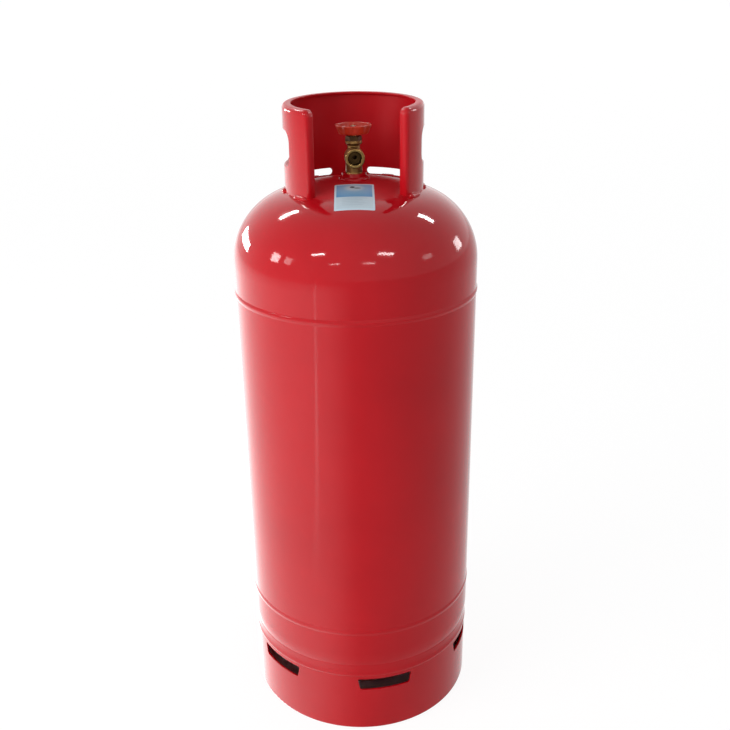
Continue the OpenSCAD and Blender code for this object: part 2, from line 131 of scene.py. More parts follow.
def make_sprayed_paint():
    """Orange peel, drifts of tone and the odd dust nib that sprayed gloss paint carries."""
    group, enter, leave = node_group(
        "Sprayed paint",
        [
            ("Place", "NodeSocketVector", None),
            ("Peel size", "NodeSocketFloat", 260.0),
            ("Nibs", "NodeSocketFloat", 0.3),
        ],
        [
            ("Tone", "NodeSocketFloat"),
            ("Gloss loss", "NodeSocketFloat"),
            ("Height", "NodeSocketFloat"),
        ],
    )
    t = Tree(group)
    place = enter.outputs["Place"]
    tone = t.noise(place, 5.0, 3.0, 0.55)
    haze = t.noise(place, 38.0, 4.0, 0.6)
    peel = t.noise(place, enter.outputs["Peel size"], 1.0, 0.4)
    nib_cells = t.add("ShaderNodeTexVoronoi", {"Vector": place, "Scale": 70.0}, feature="F1")
    nib = t.span(nib_cells.outputs["Distance"], 0.0, 0.075, 1.0, 0.0)
    chosen = t.add("ShaderNodeSeparateColor", {"Color": nib_cells.outputs["Color"]})
    nib = t.math("MULTIPLY", nib, t.math("LESS_THAN", chosen.outputs[0], 0.06))
    nib = t.math("MULTIPLY", nib, enter.outputs["Nibs"])
    t.put(t.span(tone, 0.3, 0.7), leave.inputs["Tone"])
    t.put(t.math("ADD", t.span(haze, 0.45, 0.75), nib, clamp=True), leave.inputs["Gloss loss"])
    t.put(t.math("ADD", peel, nib), leave.inputs["Height"])
    return group


def make_metal_grain():
    """Fine pits and cloudy tarnish of cast, turned or plated metal."""
    group, enter, leave = node_group(
        "Metal grain",
        [
            ("Place", "NodeSocketVector", None),
            ("Grain size", "NodeSocketFloat", 900.0),
            ("Cloud size", "NodeSocketFloat", 60.0),
        ],
        [
            ("Tarnish", "NodeSocketFloat"),
            ("Grain", "NodeSocketFloat"),
        ],
    )
    t = Tree(group)
    place = enter.outputs["Place"]
    cloud = t.noise(place, enter.outputs["Cloud size"], 4.0, 0.6)
    grain = t.noise(place, enter.outputs["Grain size"], 3.0, 0.65)
    t.put(t.span(cloud, 0.38, 0.68), leave.inputs["Tarnish"])
    t.put(grain, leave.inputs["Grain"])
    return group


SPRAYED_PAINT = make_sprayed_paint()
METAL_GRAIN = make_metal_grain()


def new_material(name):
    """Material with a Principled shader, its tree helper and the place that its patterns read."""
    material = bpy.data.materials.new(name)
    material.use_nodes = True
    t = Tree(material.node_tree)
    shader = material.node_tree.nodes["Principled BSDF"]
    place = material.node_tree.nodes.new("ShaderNodeTexCoord").outputs["Object"]
    return material, t, shader, place


RED = (0.57, 0.0055, 0.0125, 1)
RED_DEEP = (0.5, 0.004, 0.01, 1)


def gloss_paint(name, peel_size=260.0, bump=0.02, nibs=0.12, dry_r=0.0, dry_edge=10 * MM):
    """Red gloss paint over steel, dry with overspray nearer to the cylinder's axis than dry_r."""
    material, t, shader, place = new_material(name)
    coat = t.add("ShaderNodeGroup", node_tree=SPRAYED_PAINT)
    t.put(place, coat.inputs["Place"])
    t.put(peel_size, coat.inputs["Peel size"])
    t.put(nibs, coat.inputs["Nibs"])
    t.put(t.mix(coat.outputs["Tone"], RED, RED_DEEP), shader.inputs["Base Color"])
    rough = t.span(coat.outputs["Gloss loss"], 0.0, 1.0, 0.055, 0.13)
    if dry_r:
        flat = t.add("ShaderNodeVectorMath", {0: place, 1: (1, 1, 0)}, operation="MULTIPLY")
        away = t.add("ShaderNodeVectorMath", {0: flat}, operation="LENGTH").outputs["Value"]
        rough = t.math("ADD", rough, t.span(away, dry_r, dry_r - dry_edge, 0.0, 0.3))
    t.put(rough, shader.inputs["Roughness"])
    bumped = t.add(
        "ShaderNodeBump",
        {"Strength": bump, "Distance": 0.001, "Height": coat.outputs["Height"]},
    )
    t.put(bumped, shader.inputs["Normal"])
    shader.inputs["Specular IOR Level"].default_value = 0.16
    return material


def metal(name, bright, dull, rough=(0.22, 0.42), bump=0.15, grain=900.0, cloud=60.0):
    """Bare metal whose colour and gloss drift with its tarnish."""
    material, t, shader, place = new_material(name)
    grained = t.add("ShaderNodeGroup", node_tree=METAL_GRAIN)
    t.put(place, grained.inputs["Place"])
    t.put(grain, grained.inputs["Grain size"])
    t.put(cloud, grained.inputs["Cloud size"])
    t.put(t.mix(grained.outputs["Tarnish"], bright, dull), shader.inputs["Base Color"])
    t.put(t.span(grained.outputs["Tarnish"], 0.0, 1.0, *rough), shader.inputs["Roughness"])
    bumped = t.add(
        "ShaderNodeBump",
        {"Strength": bump, "Distance": 0.0004, "Height": grained.outputs["Grain"]},
    )
    t.put(bumped, shader.inputs["Normal"])
    shader.inputs["Metallic"].default_value = 1.0
    return material


def moulded(name, light, deep, rough=(0.3, 0.45)):
    """Moulded plastic or rubber with a faint texture."""
    material = metal(name, light, deep, rough, bump=0.08, grain=1400.0, cloud=90.0)
    material.node_tree.nodes["Principled BSDF"].inputs["Metallic"].default_value = 0.0
    return material


PAINT = {
    "vessel": gloss_paint("Red paint on the vessel"),
    "crown": gloss_paint("Red paint on the crown", dry_r=GUARD_R),
    "weld": gloss_paint("Red paint on the welds", 420.0, 0.06, 0.4),
    "guard": gloss_paint("Red paint on the guard", 300.0, 0.03, 0.2, GUARD_R - 1.5 * MM, 1.5 * MM),
    "foot": gloss_paint("Red paint on the foot ring", 280.0, 0.025, 0.2),
}
TURNED = metal("Turned brass", (0.72, 0.52, 0.24, 1), (0.55, 0.38, 0.16, 1), (0.16, 0.3), 0.06)
STEEL = metal("Bare plate", (0.42, 0.42, 0.43, 1), (0.26, 0.25, 0.25, 1), (0.35, 0.6), 0.2)
ZINC = metal("Zinc plate", (0.62, 0.63, 0.65, 1), (0.45, 0.46, 0.48, 1), (0.2, 0.36), 0.08)
WHEEL = moulded("Orange red plastic", (0.6, 0.036, 0.011, 1), (0.5, 0.026, 0.008, 1))
WHEEL.node_tree.nodes["Principled BSDF"].inputs["Specular IOR Level"].default_value = 0.22
# Brass darkened as painted shade, for the gland nut under the wheel and the valve plug down the
# outlet
BRASS_IN_PAINTED_SHADE = metal("Brass darkened as painted shade", (0.06, 0.028, 0.013, 1), (0.03, 0.015, 0.008, 1), (0.3, 0.5), 0.2)
RUBBER = moulded("Black rubber", (0.03, 0.03, 0.03, 1), (0.015, 0.015, 0.015, 1), (0.55, 0.75))
SLIP = moulded("Slip plastic", (0.78, 0.76, 0.7, 1), (0.66, 0.64, 0.57, 1))


def label_film():
    """Printed film: pale border, blue band with a pale oval and a dark mark, pale lower field."""
    material, t, shader, place = new_material("Label film")
    # The label is stuck on a little askew
    askew = {"Vector": place, "Angle": math.radians(4)}
    turn = t.add("ShaderNodeVectorRotate", askew, rotation_type="Z_AXIS")
    axes = t.add("ShaderNodeSeparateXYZ", {"Vector": turn})
    across = t.math("DIVIDE", axes.outputs["X"], 31 * MM)
    # 0 at the label's upper edge, 1 at its lower edge
    down = t.span(axes.outputs["Y"], -39 * MM, -131 * MM)

    def inside(value, low, high, soft=0.01):
        rise = t.span(value, low - soft, low + soft)
        fall = t.span(value, high - soft, high + soft, 1.0, 0.0)
        return t.math("MULTIPLY", rise, fall)

    def oval(x, y, half_x, half_y, soft=0.12):
        dx = t.math("DIVIDE", t.math("SUBTRACT", across, x), half_x)
        dy = t.math("DIVIDE", t.math("SUBTRACT", down, y), half_y)
        return t.span(t.hypot(dx, dy), 1.0 - soft, 1.0 + soft, 1.0, 0.0)

    border = (0.6, 0.76, 0.87, 1)
    pale = (0.54, 0.69, 0.78, 1)
    fog = t.noise(place, 120.0, 3.0, 0.6)
    field = t.mix(t.span(fog, 0.35, 0.7, 0.0, 0.5), pale, (0.6, 0.74, 0.81, 1))
    for row in range(5):
        line = inside(down, 0.625 + 0.055 * row, 0.637 + 0.055 * row, 0.006)
        reach = inside(across, -0.62, 0.62 - 0.22 * (row % 3), 0.03)
        ink = t.math("MULTIPLY", t.math("MULTIPLY", line, reach), 0.3)
        field = t.mix(ink, field, (0.22, 0.33, 0.42, 1))
    glow = oval(0.02, 0.2, 0.75, 0.26, 0.75)
    band = t.mix(glow, (0.05, 0.29, 0.58, 1), (0.36, 0.56, 0.72, 1))
    band = t.mix(oval(0.0, 0.2, 0.42, 0.13, 0.35), band, (0.56, 0.66, 0.74, 1))
    band = t.mix(oval(-0.1, 0.17, 0.12, 0.045, 0.25), band, (0.05, 0.06, 0.09, 1))
    band = t.mix(oval(0.16, 0.215, 0.17, 0.028, 0.3), band, (0.13, 0.17, 0.24, 1))
    printed = t.mix(t.span(down, 0.565, 0.585), band, field)
    within = t.math("MULTIPLY", inside(across, -0.9, 0.9, 0.015), inside(down, 0.045, 0.955, 0.01))
    t.put(t.mix(within, border, printed), shader.inputs["Base Color"])
    t.put(t.span(fog, 0.3, 0.7, 0.32, 0.42), shader.inputs["Roughness"])
    ripple = t.noise(place, 60.0, 2.0, 0.5)
    t.put(
        t.add("ShaderNodeBump", {"Strength": 0.06, "Distance": 0.001, "Height": ripple}),
        shader.inputs["Normal"],
    )
    return material


LABEL = label_film()

# Valve's outlet: turned mouth, threaded bore
MOUTH_R = 14.6 * MM
MOUTH_DEPTH = 1.3 * MM
BORE_R = 10.9 * MM
BORE_DEPTH = 1.2 * MM
THREAD_PITCH = 1.5 * MM


def forged_brass():
    """Tumbled brass, turned at the outlet's mouth, with painted shade down in its thread."""
    bright, dull = (0.205, 0.113, 0.039, 1), (0.115, 0.06, 0.021, 1)
    material = metal("Forged brass", bright, dull, (0.28, 0.48), 0.4, 700.0)
    t = Tree(material.node_tree)
    shader = material.node_tree.nodes["Principled BSDF"]
    place = material.node_tree.nodes.new("ShaderNodeTexCoord").outputs["Object"]
    axes = t.add("ShaderNodeSeparateXYZ", {"Vector": place})
    up = t.math("SUBTRACT", axes.outputs["Z"], OUTLET_Z)
    off = t.hypot(axes.outputs["X"], up)
    front = t.math("LESS_THAN", axes.outputs["Y"], -OUTLET_L + MOUTH_DEPTH)
    turned = t.math("MULTIPLY", front, t.math("LESS_THAN", off, MOUTH_R))
    before = t.math("LESS_THAN", axes.outputs["Y"], 0.0)
    bored = t.math("MULTIPLY", t.math("LESS_THAN", off, BORE_R), before)
    behind = t.math("GREATER_THAN", axes.outputs["Y"], -OUTLET_L + BORE_DEPTH)
    # The threaded bore behind the mouth, which takes the painted shade
    deep = t.math("MULTIPLY", bored, behind)
    forged = shader.inputs["Base Color"].links[0].from_socket
    colour = t.mix(turned, forged, (0.14, 0.088, 0.03, 1))
    # Painted shade: the threaded bore is coloured near black
    t.put(t.mix(deep, colour, (0.04, 0.022, 0.008, 1)), shader.inputs["Base Color"])
    rough = shader.inputs["Roughness"].links[0].from_socket
    t.put(t.math("SUBTRACT", rough, t.math("MULTIPLY", turned, 0.12)), shader.inputs["Roughness"])
    # Left-handed thread
    turn = t.math("ARCTAN2", axes.outputs["X"], up)
    lead = t.math("MULTIPLY", axes.outputs["Y"], TURN / THREAD_PITCH)
    ridge = t.math("MULTIPLY", t.math("SINE", t.math("ADD", lead, turn)), deep)
    bump = shader.inputs["Normal"].links[0].from_node
    grain = bump.inputs["Height"].links[0].from_socket
    t.put(t.math("ADD", grain, t.math("MULTIPLY", ridge, 4.0)), bump.inputs["Height"])
    return material


BRASS = forged_brass()


# ---------------------------------------------------------------- pieces

def finish_piece(bm, name, material, body="cylinder", stands_for=(), sharp=38.0):
    """Object from a bmesh: smooth except at sharp edges, on its body, with its finish."""
    mesh = bpy.data.meshes.new(name)
    bm.to_mesh(mesh)
    bm.free()
    piece = bpy.data.objects.new(name, mesh)
    bpy.context.scene.collection.objects.link(piece)
    dress(piece, material, body, stands_for, sharp)


def dress(piece, material, body="cylinder", stands_for=(), sharp=38.0):
    """Gives a piece its material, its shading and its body."""
    mesh = piece.data
    mesh.materials.clear()
    mesh.materials.append(material)
    mesh.shade_smooth()
    mesh.set_sharp_from_angle(angle=math.radians(sharp))
    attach(piece, body)
    if stands_for:
        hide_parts(*stands_for)


def lathe(profile, steps, doublings=0):
    """Closed outline of (radius, height) points turned about Z.

    A fine one is turned through a part of the circle, which is then doubled until it is whole.
    """
    bm = bmesh.new()
    points = [bm.verts.new((r, 0, z)) for r, z in profile]
    edges = [bm.edges.new(pair) for pair in zip(points, points[1:] + points[:1])]
    part = TURN / 2 ** doublings
    bmesh.ops.spin(
        bm,
        geom=points + edges,
        cent=(0, 0, 0),
        axis=(0, 0, 1),
        angle=part,
        steps=steps // 2 ** doublings,
        use_merge=doublings == 0,
    )
    for k in range(doublings):
        copied = bmesh.ops.duplicate(bm, geom=bm.verts[:] + bm.edges[:] + bm.faces[:])["geom"]
        bmesh.ops.rotate(
            bm,
            verts=[g for g in copied if isinstance(g, bmesh.types.BMVert)],
            cent=(0, 0, 0),
            matrix=Matrix.Rotation(part * 2 ** k, 3, "Z"),
        )
    if doublings:
        bmesh.ops.remove_doubles(bm, verts=bm.verts, dist=1e-6)
    bmesh.ops.recalc_face_normals(bm, faces=bm.faces)
    return bm


def front_angle(p):
    """Angle of a point from the front, towards +X."""
    return math.atan2(p.x, -p.y)


def crown_at(r):
    """Height of the upper head's crown at a distance from the axis."""
    return CROWN_Z - CROWN_R + math.sqrt(CROWN_R ** 2 - r ** 2)


def ripple(along, across, pitch=3.2 * MM):
    """Height of a weld bead's scales, 0 to 1: crescents that follow each other along the bead."""
    phase = (along / pitch + 0.9 * across * across) % 1.0
    return (1 - phase) ** 0.5 * min(1.0, phase / 0.12)


def drift(along, seed, length=70 * MM):
    """Slow unevenness of a hand's or a machine's travel, about -1 to 1."""
    x = along / length
    return 0.6 * math.sin(x + seed) + 0.4 * math.sin(2.31 * x + 2 * seed)


# Girth welds: the bead of a submerged-arc weld over its groove
BEAD_W = 11 * MM


def girth_bead(name, node, height, seed):
    """Low machine-laid cap with a flat root, over the seam between the shell and a head."""
    low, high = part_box(node)
    z = (low.z + high.z) / 2
    cap = [
        (SHELL_R + height * math.cos(math.pi / 2 * k / 6) ** 1.3 - 0.05 * MM, BEAD_W / 2 * k / 6)
        for k in range(-6, 7)
    ]
    inner = SHELL_R - PLATE
    profile = [(inner, -1 * MM)] + cap + [(inner, 1 * MM)]
    bm = lathe([(r, z + h) for r, h in profile], 2048, 5)
    for v in bm.verts:
        r = math.hypot(v.co.x, v.co.y)
        if r < SHELL_R - 0.2 * MM:
            continue
        along = front_angle(v.co) * SHELL_R
        across = (v.co.z - z) / (BEAD_W / 2)
        # The start and end of the run meet on the seam's side, where the drift fades out
        fade = math.sin(front_angle(v.co) / 2 + math.pi / 2) ** 2
        rise = (r - SHELL_R) / height
        v.co.z += 0.45 * MM * drift(along, seed) * fade * abs(across)
        scales = 0.16 * MM * ripple(along, across)
        grown = r + rise * (scales + 0.12 * MM * drift(along, seed + 2) * fade)
        v.co.xy = v.co.xy * (grown / r)
    finish_piece(bm, name, PAINT["weld"], stands_for=(node,))


girth_bead("upper_bead", "upper_girth_weld", 1.38 * MM, 0.4)
girth_bead("lower_bead", "lower_girth_weld", 0.8 * MM, 1.9)


HAND_BEAD_R = 4.7 * MM


def scaled_out(v, centre_r, centre_z, thick, seed, start, span):
    """Gives a point of a plain bead the scales, drift and tapered ends of a hand-laid one."""
    angle = front_angle(v.co)
    turn = (angle - start) % TURN
    centre = Vector((centre_r * math.sin(angle), -centre_r * math.cos(angle), centre_z))
    out = v.co - centre
    along = turn * centre_r
    whole = span >= TURN
    # Where a whole ring's run meets itself, the drift fades out
    fade = math.sin(turn / 2) ** 2 if whole else 1.0
    grown = 1 + 0.07 * ripple(along, out.z / thick) + 0.1 * drift(along, seed, 18 * MM) * fade
    if not whole:
        left = 0.0 if turn > span + 0.1 else min(turn, max(span - turn, 0.0))
        end = left * centre_r / (1.6 * thick)
        end = end if end > 0.01 else 0.0
        grown *= math.sqrt(max(0.0, 1 - (1 - min(1.0, end)) ** 2))
    v.co = centre + out * grown


def weld_piece(bm, name, node):
    """Closed weld bead that stands for a plain one."""
    bmesh.ops.remove_doubles(bm, verts=bm.verts, dist=2e-6)
    bmesh.ops.recalc_face_normals(bm, faces=bm.faces)
    finish_piece(bm, name, PAINT["weld"], stands_for=(node,), sharp=60.0)


def guard_beads():
    """Short beads around the foot of the guard collar."""
    bm = bmesh.new()
    thick = HAND_BEAD_R
    z = crown_at(GUARD_R)
    span = math.radians(16)
    for k, degrees in enumerate((52.5, 92, 145, -52.5, -92, -145)):
        start = math.radians(degrees) - span / 2
        place = Matrix.Rotation(start, 4, "Z") @ Matrix.Translation((0, -GUARD_R, z))
        before = set(bm.verts)
        made = bmesh.ops.create_circle(
            bm, segments=14, radius=thick, matrix=place @ Matrix.Rotation(math.pi / 2, 4, "Y")
        )["verts"]
        edges = list({e for v in made for e in v.link_edges})
        bmesh.ops.spin(bm, geom=made + edges, cent=(0, 0, 0), axis=(0, 0, 1), angle=span, steps=70)
        for v in [v for v in bm.verts if v not in before]:
            scaled_out(v, GUARD_R, z, thick, 1.3 * k + 0.4, start, span)
    weld_piece(bm, "guard_beads", "guard_welds")


def socket_bead():
    """Bead around the valve socket."""
    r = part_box("valve_socket")[1].x
    z = crown_at(r)
    thick = HAND_BEAD_R
    angles = [TURN * k / 16 for k in range(16)]
    section = [(r + thick * math.cos(a), z + thick * math.sin(a)) for a in angles]
    bm = lathe(section, 512, 4)
    for v in bm.verts:
        scaled_out(v, r, z, thick, 0.8, 0.0, TURN)
    weld_piece(bm, "socket_bead", "socket_weld")


def foot_bead():
    """Wide bead that fills the crease between the lower head and the foot ring."""
    # Millimetres out from the ring's outside and up from its top
    section = [
        (-9, -4), (0.2, -3.6), (0.75, -2.6), (1.0, -0.8), (0.95, 1), (0.6, 3), (0.15, 5.5),
        (-0.1, 9), (-0.15, 13), (-0.05, 17), (0.05, 20), (-0.6, 22), (-9, 14),
    ]
    bm = lathe([(FOOT_R + r * MM, FOOT_TOP + z * MM) for r, z in section], 2048, 5)
    for v in bm.verts:
        r = math.hypot(v.co.x, v.co.y)
        across = (v.co.z - FOOT_TOP + 0.5 * MM) / (4 * MM)
        lump = max(0.0, 1 - across * across)
        if r < FOOT_R - 5 * MM or not lump:
            continue
        along = (front_angle(v.co) % TURN) * FOOT_R
        even = math.sin(along / FOOT_R / 2) ** 2
        scales = 0.25 * ripple(along, across, 4.2 * MM)
        grown = r + lump * MM * (scales + 0.3 * drift(along, 2.6) * even)
        v.co.xy = v.co.xy * (grown / r)
    weld_piece(bm, "foot_bead", "foot_ring_weld")


guard_beads()
socket_bead()
foot_bead()


# ---------------------------------------------------------------- valve and hand wheel

FORGING_VOXEL = 0.5 * MM


def valve_forging():
    """The valve body with the soft edges and blended corners of a hot forging."""
    bm = bmesh.new()
    bm.from_mesh(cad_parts["valve_body"].data)
    bmesh.ops.remove_doubles(bm, verts=bm.verts, dist=1e-6)
    mesh = bpy.data.meshes.new("valve_forging")
    bm.to_mesh(mesh)
    bm.free()
    piece = bpy.data.objects.new("valve_forging", mesh)
    bpy.context.scene.collection.objects.link(piece)
    blend = piece.modifiers.new("Blend", "REMESH")
    blend.mode = "VOXEL"
    blend.voxel_size = FORGING_VOXEL
    soften = piece.modifiers.new("Soften", "SMOOTH")
    soften.factor = 0.5
    soften.iterations = 7
    bpy.context.view_layer.update()
    ready = piece.evaluated_get(bpy.context.evaluated_depsgraph_get())
    piece.data = bpy.data.meshes.new_from_object(ready)
    piece.modifiers.clear()
    bpy.data.meshes.remove(mesh)
    piece.data.name = "valve_forging"
    dress(piece, BRASS, stands_for=("valve_body",), sharp=180.0)


# Hand wheel: drawn height of its rim in millimetres, and the finger hollows in it
RIM_H = 16.7
HOLLOWS = 8
HOLLOW_R = 21 * MM
HOLLOW_REACH = 9.5 * MM


def hand_wheel():
    """Moulded wheel with draft on its rim, finger hollows and a dished top."""
    low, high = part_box("handwheel")
    hub_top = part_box("handwheel_washer")[0].z - low.z
    rim = high.z - low.z
    # Millimetres from the axis and up from the wheel's foot, to the height of the drawn rim
    section = [
        (4.4, 0), (10.2, 0), (11, 0.8), (11.4, 4.2), (12.4, 5.4), (19.2, 5.6), (20.6, 4.4),
        (21.2, 3.2), (22.4, 2.7), (23.8, 2.8), (24.8, 3.8), (26.2, 7.0), (28.0, 11.0),
        (29.7, 14.0), (30.3, 15.4), (30.2, 16.2), (29.5, 16.65), (28.2, RIM_H), (27.0, 16.3),
        (26.3, 15.3), (25.4, 12.4), (24.2, 10.6), (22.4, 9.7), (14.6, 9.3), (12.6, 9.7),
        (11.6, 10.6),
    ]
    scale = rim / (RIM_H * MM)
    profile = [(r * MM, low.z + h * MM * scale) for r, h in section]
    profile += [
        (11.0 * MM, low.z + hub_top - 0.6 * MM),
        (10.2 * MM, low.z + hub_top),
        (4.4 * MM, low.z + hub_top),
    ]
    bm = lathe(profile, 192)
    for v in bm.verts:
        r = math.hypot(v.co.x, v.co.y)
        if r < HOLLOW_R:
            continue
        lobe = (0.5 + 0.5 * math.cos(HOLLOWS * math.atan2(v.co.y, v.co.x))) ** 1.6
        v.co.xy = v.co.xy * (1 - 0.085 * lobe * (r - HOLLOW_R) / HOLLOW_REACH)
    finish_piece(bm, "hand_wheel", WHEEL, "spindle_group", ("handwheel",), 50.0)


valve_forging()
hand_wheel()


# ---------------------------------------------------------------- rolled sheets

class Sheet:
    """Flat upright sheet that is punched, edged and then bent round the cylinder's axis.

    While flat, x runs round it, z is the height and y the depth under its outer face.
    """

    def __init__(self, radius, middle, thickness):
        self.bm = bmesh.new()
        self.radius = radius
        self.middle = middle
        self.thickness = thickness

    def outline(self, points):
        """Closed outer outline."""
        ring = [self.bm.verts.new((x, 0, z)) for x, z in points]
        for pair in zip(ring, ring[1:] + ring[:1]):
            self.bm.edges.new(pair)

    def hole(self, angle, z, width, height, corner=None, margin=0.0, segments=40):
        """Round-ended or round-cornered hole, its width measured straight across."""
        corner = height / 2 if corner is None else corner
        upright = Matrix.Rotation(math.pi / 2, 4, "X")
        verts = bmesh.ops.create_circle(
            self.bm,
            segments=segments,
            radius=corner + margin,
            matrix=upright @ Matrix.Rotation(math.pi / segments, 4, "Z"),
        )["verts"]
        reach_x, reach_z = width / 2 - corner, height / 2 - corner
        centre = (angle - self.middle) * self.radius
        for v in verts:
            v.co += Vector((math.copysign(reach_x, v.co.x), 0, math.copysign(reach_z, v.co.z)))
            v.co.x = centre + self.radius * math.asin(v.co.x / self.radius)
            v.co.z += z

    def fill(self, step):
        """Skins the sheet between its outline and its holes, in columns narrow enough to bend."""
        bmesh.ops.triangle_fill(
            self.bm, use_beauty=True, use_dissolve=False, edges=self.bm.edges[:], normal=(0, -1, 0)
        )
        xs = [v.co.x for v in self.bm.verts]
        low, high = min(xs), max(xs)
        columns = max(2, round((high - low) / (step * self.radius)))
        for i in range(1, columns):
            bmesh.ops.bisect_plane(
                self.bm,
                geom=self.bm.verts[:] + self.bm.edges[:] + self.bm.faces[:],
                dist=1e-6,
                plane_co=(low + (high - low) * i / columns, 0, 0),
                plane_no=(1, 0, 0),
            )

    def rim(self, test):
        """Free edges whose middles pass a test."""
        return [
            e for e in self.bm.edges
            if e.is_boundary and test((e.verts[0].co + e.verts[1].co) / 2)
        ]

    def sweep(self, edges, path, outward):
        """Draws free edges out along a path of (out, depth) steps, out leading off the sheet."""
        base = {}
        for e in edges:
            for v in e.verts:
                base[v] = (v.co.copy(), outward(v.co))
        for out, depth in path:
            grown = bmesh.ops.extrude_edge_only(self.bm, edges=edges)["geom"]
            edges = [g for g in grown if isinstance(g, bmesh.types.BMEdge)]
            fresh = {g for g in grown if isinstance(g, bmesh.types.BMVert)}
            moved = {}
            for v in fresh:
                old = next(e.other_vert(v) for e in v.link_edges if e.other_vert(v) in base)
                start, way = base[old]
                v.co = start + way * out + Vector((0, depth, 0))
                moved[v] = (start, way)
            base = moved
            edges = [e for e in edges if e.verts[0] in fresh and e.verts[1] in fresh]

    def bend(self):
        """Bends the flat sheet round the axis, its outer face outwards."""
        for v in self.bm.verts:
            angle = self.middle + v.co.x / self.radius
            r = self.radius - v.co.y
            v.co = (r * math.sin(angle), -r * math.cos(angle), v.co.z)
        bmesh.ops.remove_doubles(self.bm, verts=self.bm.verts, dist=2e-6)
        bmesh.ops.recalc_face_normals(self.bm, faces=self.bm.faces)
        # An open sheet's normals may come out either way round
        face = max(self.bm.faces, key=lambda f: f.calc_area())
        middle = face.calc_center_median()
        if face.normal.dot(Vector((middle.x, middle.y, 0))) < 0:
            bmesh.ops.reverse_faces(self.bm, faces=self.bm.faces)

    def piece(self, name, material, slot, stands_for, edge=0.5 * MM):
        """Gives the sheet its thickness and its eased edges, with true normals on its two faces."""
        mesh = bpy.data.meshes.new(name)
        self.bm.to_mesh(mesh)
        self.bm.free()
        piece = bpy.data.objects.new(name, mesh)
        bpy.context.scene.collection.objects.link(piece)
        wall = piece.modifiers.new("Wall", "SOLIDIFY")
        wall.thickness = self.thickness
        wall.offset = -1
        wall.use_quality_normals = True
        ease = piece.modifiers.new("Eased edges", "BEVEL")
        ease.width = edge
        ease.segments = 2
        ease.limit_method = "ANGLE"
        ease.angle_limit = math.radians(50)
        bpy.context.view_layer.update()
        ready = piece.evaluated_get(bpy.context.evaluated_depsgraph_get())
        piece.data = bpy.data.meshes.new_from_object(ready)
        piece.modifiers.clear()
        bpy.data.meshes.remove(mesh)
        piece.data.name = name
        dress(piece, material, stands_for=stands_for, sharp=50.0)
        # Zero leaves a normal as it is
        normals = []
        for v in piece.data.vertices:
            r = math.hypot(v.co.x, v.co.y)
            side = 0
            if abs(r - self.radius) < 3e-6:
                side = 1
            elif abs(r - self.radius + self.thickness) < 3e-5:
                side = -1
            normals.append((side * v.co.x / r, side * v.co.y / r, 0))
        piece.data.normals_split_custom_set_from_vertices(normals)


def hole_way(width, height, corner, centre, z, radius):
    """Way out of the sheet at the edge of a round-cornered hole: towards the hole's middle."""
    reach_x, reach_z = width / 2 - corner, height / 2 - corner

    def way(p):
        local = math.sin((p.x - centre) / radius) * radius
        core_x = max(-reach_x, min(reach_x, local))
        core_z = max(-reach_z, min(reach_z, p.z - z))
        return Vector((core_x - local, 0, core_z - (p.z - z))).normalized()

    return way


# Guard collar
ROLL_R = 7 * MM
CORNER_R = 4 * MM
OPEN = math.radians(45.3)
HAND_ANGLE = math.radians(92)
HAND_Z = CROWN_Z + 55 * MM
HAND_W, HAND_H, HAND_CORNER = 90 * MM, 54 * MM, 17 * MM
LIP_R = 2.4 * MM
LIP_DEPTH = 8 * MM
DIP = 9 * MM
DIP_Z = CROWN_Z + 84 * MM
DIP_H = 22 * MM
DRAIN_ANGLE = math.radians(35)
DRAIN_W, DRAIN_H = 74 * MM, 12 * MM


